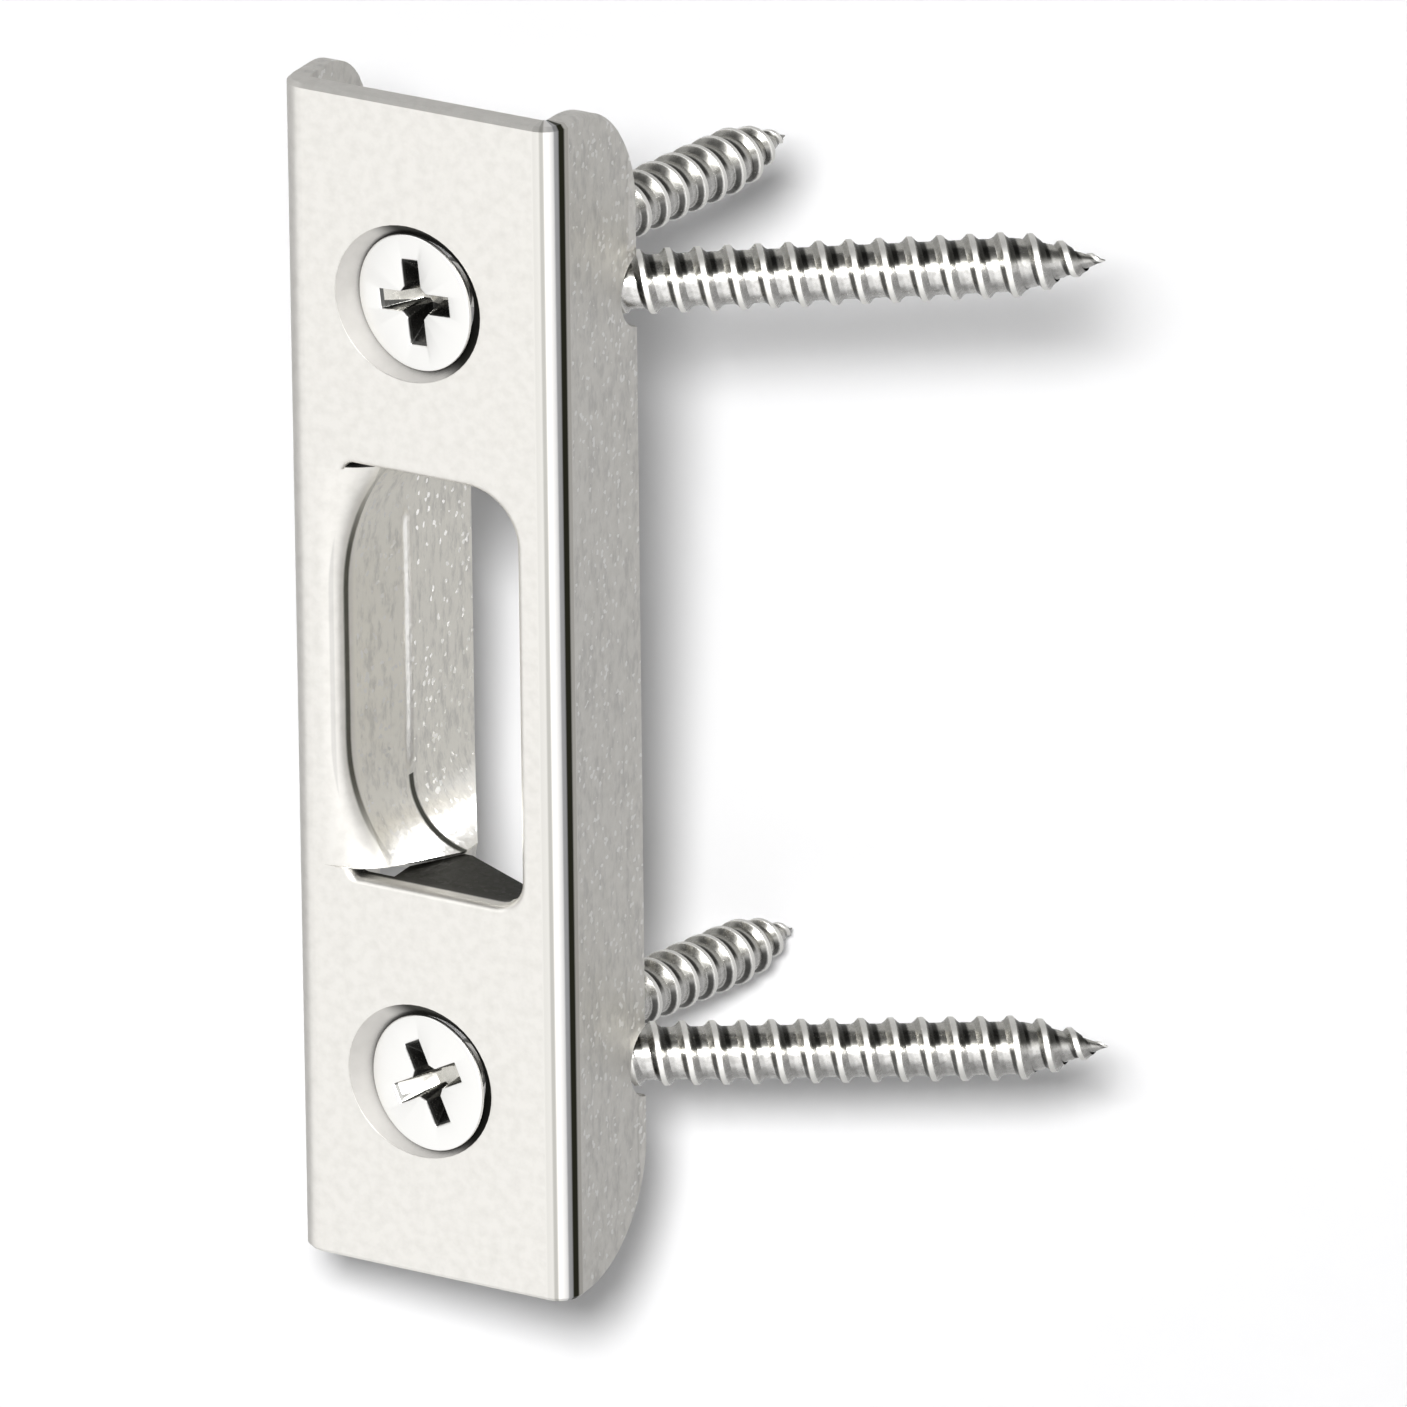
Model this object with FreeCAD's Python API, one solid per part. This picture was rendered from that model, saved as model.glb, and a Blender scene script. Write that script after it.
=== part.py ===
import FreeCAD, Part
import math
import os

from FreeCAD import Vector

os.makedirs("parts", exist_ok=True)

# The frame: X to the right seen from the front, Y into the door jamb, Z up.
# The origin is the centre of the bolt window, on the front of the face.

# Channel folded from one sheet
sheet = 1.6
plate_width = 22.2
plate_height = 88.9
bend_radius = 1.9
right_depth = 11.6
left_depth = 9.7
right_corner_radius = 9.0
left_corner_radius = 5.5
edge_bevel = 0.3

# Bolt window, a little above the plate's middle
window_width = 15.0
window_height = 31.5
window_rise = 0.85
window_top_radius = 4.0
window_bottom_radius = 2.2
window_root_radius = 0.8
window_edge_round = 0.6
lance_x = -6.4
lance_lap = 0.1

# Tongue: the metal of the window, rolled back and pressed as a trough
roll_margin = 1.0
roll_radius = 1.75
tongue_gap = 0.5
tongue_reach = 16.6
crease_depth = 7.5
crease_shift = 1.25
mouth_curl_radius = 20.0
mouth_curl_angle = 29.0
throat_curl_radius = 5.2
throat_curl_angle = 80.0
throat_overrun = 0.3
corner_trim = 1.7

# End walls: drawn back with the tongue from the window's two ends, and slanted off behind
wall_gap = 0.3
wall_inner_x = -3.6
wall_side_depth = 3.6
wall_crease_lap = 0.6

# Screws: flat head, cross recess, plain neck, thread, gimlet point
thread_diameter = 4.6
neck_diameter = 3.9
tip_length = 6.5
tip_blunt = 0.25
head_angle = 82.0
head_lip = 0.25
recess_span = 6.4
recess_width = 1.5
recess_depth = 2.5
recess_floor_span = 2.4
recess_floor_width = 0.9
recess_hub = 2.7
recess_floor_hub = 1.5

# Face screws, driven through the face
face_head_diameter = 10.0
face_length = 41.3
face_neck = 16.0
face_setback = 14.95
face_tilt = 10.0
face_sink = 0.2
seat_clearance = 0.25
shank_gap = 0.16

# Angled screws, driven from inside the channel over the right flange
angled_head_diameter = 8.6
angled_length = 37.8
angled_neck = 6.4
angled_setback = 15.15
angled_drop = 0.55
angled_direction = 62.0
notch_depth = 2.5
notch_clearance = 0.45
screw_clearance = 0.1

half_width = plate_width / 2
plate_middle = -window_rise
plate_top = plate_middle + plate_height / 2
plate_bottom = plate_middle - plate_height / 2
flange_inner = half_width - sheet
root_x = -window_width / 2 - roll_margin
thread_radius = thread_diameter / 2
neck_radius = neck_diameter / 2
notch_radius = thread_radius + notch_clearance
overshoot = 1.0
near = 1e-4


def save(shape, node):
    shape.exportStep("parts/" + node + ".step")
    print(node, "valid", shape.isValid(), "solids", len(shape.Solids), "mm3", round(shape.Volume, 1))


def corner_arc(centre, radius, from_angle, to_angle):
    """Arc in the XY plane, angles in degrees."""
    middle = math.radians((from_angle + to_angle) / 2)
    start = math.radians(from_angle)
    end = math.radians(to_angle)
    points = [centre + Vector(math.cos(a), math.sin(a), 0) * radius for a in (start, middle, end)]
    return Part.Arc(points[0], points[1], points[2]).toShape()


# Folded channel

def channel_section():
    outer = half_width
    inner = half_width - sheet
    centre_x = half_width - bend_radius
    inner_radius = bend_radius - sheet
    left = Vector(-centre_x, bend_radius, 0)
    right = Vector(centre_x, bend_radius, 0)
    edges = [
        Part.makeLine(Vector(-outer, left_depth, 0), Vector(-outer, bend_radius, 0)),
        corner_arc(left, bend_radius, 180, 270),
        Part.makeLine(Vector(-centre_x, 0, 0), Vector(centre_x, 0, 0)),
        corner_arc(right, bend_radius, 270, 360),
        Part.makeLine(Vector(outer, bend_radius, 0), Vector(outer, right_depth, 0)),
        Part.makeLine(Vector(outer, right_depth, 0), Vector(inner, right_depth, 0)),
        Part.makeLine(Vector(inner, right_depth, 0), Vector(inner, bend_radius, 0)),
        corner_arc(right, inner_radius, 360, 270),
        Part.makeLine(Vector(centre_x, sheet, 0), Vector(-centre_x, sheet, 0)),
        corner_arc(left, inner_radius, 270, 180),
        Part.makeLine(Vector(-inner, bend_radius, 0), Vector(-inner, left_depth, 0)),
        Part.makeLine(Vector(-inner, left_depth, 0), Vector(-outer, left_depth, 0)),
    ]
    return Part.Face(Part.Wire(edges))


def flange_corner_cutter(side, depth, radius, end):
    """Waste outside the rounded corner of one flange. side and end are -1 or 1."""
    end_z = plate_top if end > 0 else plate_bottom
    size = radius + overshoot
    low_z = end_z - radius if end > 0 else end_z - overshoot
    low_x = side * half_width - size / 2
    block = Part.makeBox(size, size, size, Vector(low_x, depth - radius, low_z))
    centre = Vector(low_x - overshoot, depth - radius, end_z - end * radius)
    return block.cut(Part.makeCylinder(radius, size + 2 * overshoot, centre, Vector(1, 0, 0)))


def on_outer_skin(point):
    """True for a point on the outside of the channel: its face, bends and flanges."""
    centre_x = half_width - bend_radius
    if point.y < bend_radius and abs(point.x) > centre_x:
        away = math.hypot(abs(point.x) - centre_x, point.y - bend_radius)
        return abs(away - bend_radius) < near
    return abs(point.y) < near or abs(abs(point.x) - half_width) < near


def is_outline_edge(edge):
    """An edge round the outside of the blank, and not a seam along a bend."""
    first, last = edge.ParameterRange
    points = [edge.valueAt(first + share * (last - first)) for share in (0, 0.3, 0.7, 1)]
    if not all(on_outer_skin(p) for p in points):
        return False
    along_bend = all(abs(p.y) < bend_radius + near for p in points)
    spans_height = abs(points[0].z - points[-1].z) > plate_height / 2
    return not (along_bend and spans_height)


def channel():
    blank = channel_section().extrude(Vector(0, 0, plate_height))
    blank.translate(Vector(0, 0, plate_bottom))
    for side, depth, radius in ((1, right_depth, right_corner_radius), (-1, left_depth, left_corner_radius)):
        for end in (1, -1):
            blank = blank.cut(flange_corner_cutter(side, depth, radius, end))
    return blank.makeChamfer(edge_bevel, [edge for edge in blank.Edges if is_outline_edge(edge)])


# Bolt window

def window_outline():
    """Window seen from the front, as a wire in the XZ plane."""
    left = lance_x
    right = window_width / 2
    high = window_height / 2
    corners = [
        (Vector(left, 0, -high), window_root_radius),
        (Vector(right, 0, -high), window_bottom_radius),
        (Vector(right, 0, high), window_top_radius),
        (Vector(left, 0, high), window_root_radius),
    ]
    edges = []
    ends = []
    for index, (corner, radius) in enumerate(corners):
        before = (corners[index - 1][0] - corner).normalize()
        after = (corners[(index + 1) % len(corners)][0] - corner).normalize()
        centre = corner + (before + after) * radius
        middle = centre + (corner - centre).normalize() * radius
        start = corner + before * radius
        end = corner + after * radius
        edges.append(Part.Arc(start, middle, end).toShape())
        ends.append((start, end))
    for index in range(len(corners)):
        edges.append(Part.makeLine(ends[index - 1][1], ends[index][0]))
    return Part.Wire(Part.__sortEdges__(edges))


def window_cutter():
    cutter = Part.Face(window_outline()).extrude(Vector(0, sheet + 2 * overshoot, 0))
    cutter.translate(Vector(0, -overshoot, 0))
    return cutter


def is_window_edge(edge):
    """An edge of the window on the front of the face."""
    first, last = edge.ParameterRange
    points = [edge.valueAt(first + share * (last - first)) for share in (0, 0.5, 1)]
    reach = flange_inner - bend_radius
    return all(abs(p.y) < near and abs(p.x) < reach and abs(p.z) < window_height for p in points)


def channel_with_window():
    blank = channel().cut(window_cutter())
    return blank.makeFillet(window_edge_round, [edge for edge in blank.Edges if is_window_edge(edge)])


# Tongue

curl_share = 0.6
straight_points = 5
curl_points = 6
height_shares = [curl_share * (2 * i / (straight_points - 1) - 1) for i in range(straight_points)]
height_shares = (
    [-1 + (1 - curl_share) * i / curl_points for i in range(curl_points)]
    + height_shares
    + [1 - (1 - curl_share) * (curl_points - 1 - i) / curl_points for i in range(curl_points)]
)


def curl(share, half_height, radius, angle):
    """Height, sag towards +X and slope of the trough's section at a share of its half height."""
    full = math.radians(angle)
    straight = half_height - radius * math.sin(full)
    if abs(share) <= curl_share:
        return straight * share / curl_share, 0.0, 0.0
    turn = full * (abs(share) - curl_share) / (1 - curl_share)
    side = 1 if share > 0 else -1
    return side * (straight + radius * math.sin(turn)), radius * (1 - math.cos(turn)), side * turn


def mouth(share):
    return curl(share, window_height / 2 - tongue_gap, mouth_curl_radius, mouth_curl_angle)


def throat(share):
    half_height = window_height / 2 - tongue_gap + throat_overrun
    return curl(share, half_height, throat_curl_radius, throat_curl_angle)


def crease_point(share):
    height, sag, turn = throat(share)
    return Vector(root_x + roll_radius + crease_shift + sag, crease_depth, height)


def lean(share):
    """Angle of the front facet from +Y towards +X."""
    height, sag, turn = mouth(share)
    start_x = root_x + roll_radius + sag
    crease = crease_point(share)
    return math.atan2(crease.x - start_x, crease_depth - roll_radius - sag)


def roll_curves(progress):
    """Outer and inner curve of the roll, where progress runs from the face (0) to the wall (1)."""
    outer = []
    inner = []
    for share in height_shares:
        height, sag, turn = mouth(share)
        sweep = math.pi / 2 - lean(share)
        radius = (roll_radius + sag) / math.sin(sweep)
        angle = sweep * progress
        point = Vector(root_x + radius * math.sin(angle), radius * (1 - math.cos(angle)), height)
        back = Vector(-math.sin(angle) * math.cos(turn), math.cos(angle), math.sin(angle) * math.sin(turn))
        outer.append(point)
        inner.append(point + back * sheet)
    return outer, inner


def crease_curves():
    outer = []
    inner = []
    for share in height_shares:
        turn = throat(share)[2]
        point = crease_point(share)
        outer.append(point)
        inner.append(point + Vector(-math.cos(turn), math.tan(lean(share) / 2), math.sin(turn)) * sheet)
    return outer, inner


def free_edge_curves():
    outer = []
    inner = []
    for share in height_shares:
        height, sag, turn = throat(share)
        crease = crease_point(share)
        point = Vector(crease.x, tongue_reach - corner_trim * sag, crease.z)
        outer.append(point)
        inner.append(point + Vector(-math.cos(turn), 0, math.sin(turn)) * sheet)
    return outer, inner


def smooth_curve(points):
    spline = Part.BSplineCurve()
    spline.interpolate(points)
    return spline.toShape()


def strip(curves, ruled):
    """One face through a list of curves that run up the tongue."""
    return Part.makeLoft([Part.Wire(curve) for curve in curves], False, ruled)


def end_point(curve, end):
    return curve.valueAt(curve.ParameterRange[end])


def side_edge(face, first, last, end):
    """The face's own edge that joins the same end of its first and last curve."""
    wanted = [end_point(first, end), end_point(last, end)]
    for edge in face.Edges:
        ends = [vertex.Point for vertex in edge.Vertexes]
        if len(ends) == 2 and all(min(p.distanceToPoint(q) for q in ends) < near for p in wanted):
            return edge
    raise ValueError("the tongue's side edge wasn't found")


def tongue():
    roll_steps = 6
    rolls = [roll_curves(step / roll_steps) for step in range(roll_steps + 1)]
    creases = crease_curves()
    free_edges = free_edge_curves()
    spans = [(rolls, False), ([rolls[-1], creases], True), ([creases, free_edges], True)]
    faces = []
    for stations, ruled in spans:
        outer_curves = [smooth_curve(outer) for outer, inner in stations]
        inner_curves = [smooth_curve(inner) for outer, inner in stations]
        outer_face = strip(outer_curves, ruled)
        inner_face = strip(inner_curves, ruled)
        faces += [outer_face, inner_face]
        for end in (0, 1):
            outer_side = side_edge(outer_face, outer_curves[0], outer_curves[-1], end)
            inner_side = side_edge(inner_face, inner_curves[0], inner_curves[-1], end)
            faces.append(Part.makeRuledSurface(outer_side, inner_side))
    for outer, inner in (rolls[0], free_edges):
        faces.append(Part.makeRuledSurface(smooth_curve(outer), smooth_curve(inner)))
    shell = Part.makeShell([face for piece in faces for face in piece.Faces])
    shell.sewShape()
    solid = Part.makeSolid(shell)
    if solid.Volume < 0:
        solid.reverse()
    return solid


def lance_cutter():
    """Room for the tongue's roll, lanced from the window's left side to the tongue's root."""
    height = window_height - 2 * (tongue_gap + lance_lap)
    width = lance_x - root_x + overshoot
    return Part.makeBox(width, sheet + 2 * overshoot, height, Vector(root_x, -overshoot, -height / 2))


def end_wall(end):
    """Wall at one end of the window, where end is -1 or 1. It runs from the tongue's crease to the
    window's free side."""
    crease = crease_point(end)
    side_x = window_width / 2 - wall_gap
    outline = [
        Vector(wall_inner_x, sheet / 2, 0),
        Vector(side_x, sheet / 2, 0),
        Vector(side_x, wall_side_depth, 0),
        Vector(crease.x + wall_crease_lap, crease_depth, 0),
        Vector(crease.x, crease_depth, 0),
        Vector(wall_inner_x, crease_depth / 2, 0),
    ]
    wall = Part.Face(Part.makePolygon(outline + [outline[0]])).extrude(Vector(0, 0, end * sheet))
    wall.translate(Vector(0, 0, end * window_height / 2))
    return wall


# Screws

def drive_direction(turn, rise):
    """Unit vector from +Y turned towards +X, then raised, in degrees."""
    turn = math.radians(turn)
    rise = math.radians(rise)
    return Vector(math.sin(turn) * math.cos(rise), math.cos(turn) * math.cos(rise), math.sin(rise))


def place(shape, spin, origin, direction):
    """Turns a shape drawn down the -Z axis so that it points along direction from origin."""
    placed = shape.copy()
    placed.rotate(Vector(0, 0, 0), Vector(0, 0, 1), spin)
    turn = FreeCAD.Rotation(Vector(0, 0, -1), direction)
    placed.Placement = FreeCAD.Placement(origin, turn).multiply(placed.Placement)
    return placed


def revolved(profile):
    points = [Vector(radius, 0, z) for radius, z in profile]
    wire = Part.makePolygon(points + [points[0]])
    return Part.Face(wire).revolve(Vector(0, 0, 0), Vector(0, 0, 1), 360)


def tapered_pocket(mouth_sides, floor_sides, turn):
    """Pocket between a rectangular mouth and a smaller floor, each given as its two sides."""
    rings = []
    for (across, along), z in ((mouth_sides, 0.0), (floor_sides, -recess_depth)):
        x = across / 2
        y = along / 2
        corners = [Vector(-x, -y, z), Vector(x, -y, z), Vector(x, y, z), Vector(-x, y, z)]
        rings.append(Part.makePolygon(corners + [corners[0]]))
    pocket = Part.makeLoft(rings, True, True)
    pocket.rotate(Vector(0, 0, 0), Vector(0, 0, 1), turn)
    return pocket


def cross_recess():
    """Two tapered slots that cross, with the corners between them cut back to a hub."""
    slot_mouth = (recess_span, recess_width)
    slot_floor = (recess_floor_span, recess_floor_width)
    hub_mouth = (recess_hub, recess_hub)
    hub_floor = (recess_floor_hub, recess_floor_hub)
    first_slot = tapered_pocket(slot_mouth, slot_floor, 0)
    second_slot = tapered_pocket(slot_mouth, slot_floor, 90)
    return first_slot.fuse([second_slot, tapered_pocket(hub_mouth, hub_floor, 45)])


def cone_drop(wide_radius, narrow_radius):
    return (wide_radius - narrow_radius) / math.tan(math.radians(head_angle / 2))


def screw(head_diameter, length, neck_length):
    head_radius = head_diameter / 2
    profile = [
        (0, 0),
        (head_radius, 0),
        (head_radius, -head_lip),
        (neck_radius, -head_lip - cone_drop(head_radius, neck_radius)),
        (neck_radius, -neck_length),
        (thread_radius, -neck_length),
        (thread_radius, -length + tip_length),
        (tip_blunt, -length),
        (0, -length),
    ]
    return revolved(profile).cut(cross_recess())


face_sides = {
    "upper": {"side": 1, "rise": 0.0, "spin": -3.0},
    "lower": {"side": -1, "rise": -2.75, "spin": 19.0},
}
angled_sides = {
    "upper": {"side": 1, "rise": 2.6, "spin": 15.0},
    "lower": {"side": -1, "rise": 0.8, "spin": 40.0},
}


def angled_height(level):
    return plate_middle - angled_drop + angled_sides[level]["side"] * (plate_height / 2 - angled_setback)


def angled_head_place():
    """X and Y of an angled screw's head: its thread passes over the notch's floor, and its cone
    bears on the notch's inner edge."""
    slant = math.radians(angled_direction)
    room = thread_radius + screw_clearance
    bearing = head_lip + cone_drop(angled_head_diameter / 2, thread_radius) + room / math.tan(slant)
    crossing_y = right_depth - notch_depth + room / math.sin(slant)
    return flange_inner - bearing * math.sin(slant), crossing_y - bearing * math.cos(slant)


def angled_screw_pose(level):
    side = angled_sides[level]
    x, y = angled_head_place()
    direction = drive_direction(angled_direction, side["rise"])
    return side["spin"], Vector(x, y, angled_height(level)), direction


def face_screw_x():
    """The face screws stand as near the right flange as the angled screws' heads allow."""
    x, y = angled_head_place()
    slant = math.radians(angled_direction)
    tilt = math.radians(face_tilt)
    rim_x = x - angled_head_diameter / 2 * math.cos(slant)
    rim_y = y + angled_head_diameter / 2 * math.sin(slant)
    return rim_x - (shank_gap + neck_radius) / math.cos(tilt) - (rim_y - face_sink) * math.tan(tilt)


def face_screw_pose(level):
    side = face_sides[level]
    direction = drive_direction(face_tilt, side["rise"])
    height = plate_middle + side["side"] * (plate_height / 2 - face_setback)
    return side["spin"], Vector(face_screw_x(), face_sink, height), direction


def face_hole_cutter(level):
    """Countersink square to the face, just wide enough for the tilted head to sink into it."""
    slope = math.tan(math.radians(head_angle / 2))
    tilt = math.radians(face_tilt)
    head_radius = face_head_diameter / 2
    axis_x = face_screw_x()
    left_x = axis_x + head_lip * math.sin(tilt) - head_radius * math.cos(tilt)
    left_y = face_sink + head_lip * math.cos(tilt) + head_radius * math.sin(tilt)
    along = sheet - face_sink + (head_radius + head_lip * slope) * math.sin(tilt)
    along /= math.cos(tilt) + slope * math.sin(tilt)
    right_radius = head_radius - (along - head_lip) * slope
    right_x = axis_x + along * math.sin(tilt) + right_radius * math.cos(tilt)
    centre_x = (left_x + right_x + (sheet - left_y) * slope) / 2
    rim_radius = (right_x - left_x + (sheet + left_y) * slope) / 2 + seat_clearance
    height = face_screw_pose(level)[1].z
    return Part.makeCone(
        rim_radius + overshoot * slope,
        rim_radius - (sheet + overshoot) * slope,
        sheet + 2 * overshoot,
        Vector(centre_x, -overshoot, height),
        Vector(0, 1, 0),
    )


def notch_cutter(level):
    centre = Vector(flange_inner - overshoot, right_depth - notch_depth + notch_radius, angled_height(level))
    return Part.makeCylinder(notch_radius, sheet + 2 * overshoot, centre, Vector(1, 0, 0))


# Assembly

def strike_plate():
    body = channel_with_window().cut(lance_cutter())
    for level in ("upper", "lower"):
        body = body.cut(face_hole_cutter(level))
        body = body.cut(notch_cutter(level))
    for piece in (tongue(), end_wall(1), end_wall(-1)):
        body = body.fuse(piece)
    return body.removeSplitter().Solids[0]


save(strike_plate(), "strike_plate")
for level in ("upper", "lower"):
    face_screw = screw(face_head_diameter, face_length, face_neck)
    save(place(face_screw, *face_screw_pose(level)), "face_screw_" + level)
    angled_screw = screw(angled_head_diameter, angled_length, angled_neck)
    save(place(angled_screw, *angled_screw_pose(level)), "angled_screw_" + level)
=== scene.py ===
import math
import bpy
import bmesh
from mathutils import Matrix, Vector


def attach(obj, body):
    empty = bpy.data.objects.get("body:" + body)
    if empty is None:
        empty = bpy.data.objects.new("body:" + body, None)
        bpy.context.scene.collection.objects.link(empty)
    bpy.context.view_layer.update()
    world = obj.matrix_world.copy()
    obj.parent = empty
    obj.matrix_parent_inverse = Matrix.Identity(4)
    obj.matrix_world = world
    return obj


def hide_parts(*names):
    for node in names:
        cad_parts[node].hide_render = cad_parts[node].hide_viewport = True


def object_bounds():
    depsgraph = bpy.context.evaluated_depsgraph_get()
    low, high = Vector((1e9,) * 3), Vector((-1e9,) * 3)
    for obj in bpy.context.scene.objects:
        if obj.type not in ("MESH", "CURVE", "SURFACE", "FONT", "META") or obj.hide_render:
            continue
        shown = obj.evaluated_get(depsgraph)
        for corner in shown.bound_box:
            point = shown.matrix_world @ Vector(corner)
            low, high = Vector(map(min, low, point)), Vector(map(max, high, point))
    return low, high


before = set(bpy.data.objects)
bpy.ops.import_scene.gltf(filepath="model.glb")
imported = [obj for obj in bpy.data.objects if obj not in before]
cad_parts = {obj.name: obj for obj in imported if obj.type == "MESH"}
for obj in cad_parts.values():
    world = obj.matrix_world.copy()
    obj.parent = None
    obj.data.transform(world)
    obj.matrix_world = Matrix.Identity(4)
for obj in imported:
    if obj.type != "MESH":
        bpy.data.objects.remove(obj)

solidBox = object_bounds()   # box of the plain solids, which sets the floor's height
mm = 0.001


# small helpers; where they take a mat, the world does as well

def clearNodes(block):
    block.use_nodes = True
    block.node_tree.nodes.clear()
    return block


def link(mat, fromSocket, toSocket):
    mat.node_tree.links.new(fromSocket, toSocket)


def feed(mat, socket, value):
    # the value is another socket or a plain one
    if hasattr(value, "is_linked"):
        link(mat, value, socket)
    else:
        socket.default_value = value


def addNode(mat, kind, **values):
    # values are node properties, or sockets by name with spaces written as _
    node = mat.node_tree.nodes.new(kind)
    for key, value in values.items():
        if hasattr(node, key):
            setattr(node, key, value)
        else:
            feed(mat, node.inputs[key.replace("_", " ")], value)
    return node


def mathNode(mat, operation, *values):
    node = addNode(mat, "ShaderNodeMath", operation=operation)
    for socket, value in zip(node.inputs, values):
        feed(mat, socket, value)
    return node.outputs[0]


def vectorNode(mat, operation, *values, result="Vector"):
    node = addNode(mat, "ShaderNodeVectorMath", operation=operation)
    for socket, value in zip(node.inputs, values):
        feed(mat, socket, value)
    return node.outputs[result]


def both(mat, first, *others):
    for other in others:
        first = mathNode(mat, "MULTIPLY", first, other)
    return first


def rangeNode(mat, value, start, end, low=0.0, high=1.0):
    # goes smoothly from low to high while the value goes from start to end
    node = addNode(mat, "ShaderNodeMapRange", interpolation_type="SMOOTHSTEP", Value=value,
                   From_Min=start, From_Max=end, To_Min=low, To_Max=high)
    return node.outputs["Result"]


def band(mat, value, centre, halfWidth, soft):
    # 1 inside the band round a centre, falling to 0 over the soft width
    offset = mathNode(mat, "ABSOLUTE", mathNode(mat, "SUBTRACT", value, centre))
    return rangeNode(mat, offset, halfWidth + soft, halfWidth)


def within(mat, values, bands):
    # 1 where each value lies in its own band
    return both(mat, *[band(mat, value, *limits) for value, limits in zip(values, bands)])


def splitVector(mat, vector):
    return addNode(mat, "ShaderNodeSeparateXYZ", Vector=vector).outputs


def rampNode(mat, factor, stops):
    node = addNode(mat, "ShaderNodeValToRGB", Fac=factor)
    ramp = node.color_ramp
    while len(ramp.elements) < len(stops):
        ramp.elements.new(0.5)
    for element, (place, colour) in zip(ramp.elements, stops):
        element.position = place
        element.color = (*colour, 1)
    return node.outputs["Color"]


def mixColour(mat, factor, first, second):
    node = addNode(mat, "ShaderNodeMix", data_type="RGBA")
    for slot, value in ((0, factor), (6, first), (7, second)):
        feed(mat, node.inputs[slot], value)
    return node.outputs[2]


def paint(mat, colour, look, layers):
    # each layer is a mask, how strongly it shows and the name of its tone
    for mask, share, tone in layers:
        colour = mixColour(mat, both(mat, mask, share), colour, (*look[tone], 1))
    return colour


def mixShader(mat, factor, first, second):
    node = addNode(mat, "ShaderNodeMixShader")
    for socket, value in zip(node.inputs, (factor, first, second)):
        link(mat, value, socket)
    return node.outputs[0]


# camera, at the photo's angle

cameraSetup = {
    "azimuth": 29.88,       # degrees round from the front
    "elevation": 22.31,
    "roll": -0.87,
    "distance": 1.47731,    # metres to the target
    "target": (0.0, 0.005, -0.00085),
    "aimRight": 0.017166,   # the picture's middle, measured from the target
    "aimUp": -0.00207,
    "lens": 537.1,
    "sensor": 36,
    "clip": (0.05, 20),
}


def makeCamera(setup):
    azimuth = math.radians(setup["azimuth"])
    elevation = math.radians(setup["elevation"])
    roll = math.radians(setup["roll"])
    back = Vector((math.sin(azimuth) * math.cos(elevation), -math.cos(azimuth) * math.cos(elevation),
                   math.sin(elevation)))
    level = Vector((math.cos(azimuth), math.sin(azimuth), 0))
    upright = back.cross(level)
    right = level * math.cos(roll) + upright * math.sin(roll)
    up = upright * math.cos(roll) - level * math.sin(roll)
    target = Vector(setup["target"])
    place = target + back * setup["distance"]
    aim = target + right * setup["aimRight"] + up * setup["aimUp"]
    zAxis = (place - aim).normalized()
    xAxis = up.cross(zAxis).normalized()
    yAxis = zAxis.cross(xAxis)
    data = bpy.data.cameras.new("photoCamera")
    data.lens = setup["lens"]
    data.sensor_width = setup["sensor"]
    data.clip_start, data.clip_end = setup["clip"]
    camera = bpy.data.objects.new("photoCamera", data)
    turn = Matrix((xAxis, yAxis, zAxis)).transposed().to_4x4()
    camera.matrix_world = Matrix.Translation(place) @ turn
    bpy.context.scene.collection.objects.link(camera)
    bpy.context.scene.camera = camera
    return back, right, up


viewBack, viewRight, viewUp = makeCamera(cameraSetup)
print("camera set")


# stage: pale floor under the plate, pale card close behind the screw tips

stageSetup = {
    "floorDrop": 0.0215,     # floor this far under the lowest edge, below the picture
    "cardGap": 0.0012,       # card this far behind the deepest screw tip
    "size": 6.0,
    "tone": (0.86, 0.86, 0.865),
    "floorGlow": 0.55,       # light of its own, seen by the camera
    "frontMirror": 1.08,     # what the metal sees of the floor in front
    "backMirror": 0.42,      # and of the floor behind
    "cardMirror": 0.54,      # and of the card
    "mirrorWay": (-0.5, -0.866, 0.0),
    "mirrorFade": (-0.020, 0.004),   # the floor goes from back to front between these, along that way
}


def floorMirror(mat):
    # bright in front of the plate, darker behind it
    coords = addNode(mat, "ShaderNodeTexCoord").outputs["Object"]
    along = vectorNode(mat, "DOT_PRODUCT", coords, stageSetup["mirrorWay"], result="Value")
    start, end = stageSetup["mirrorFade"]
    return rangeNode(mat, along, start, end, stageSetup["backMirror"], stageSetup["frontMirror"])


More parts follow.
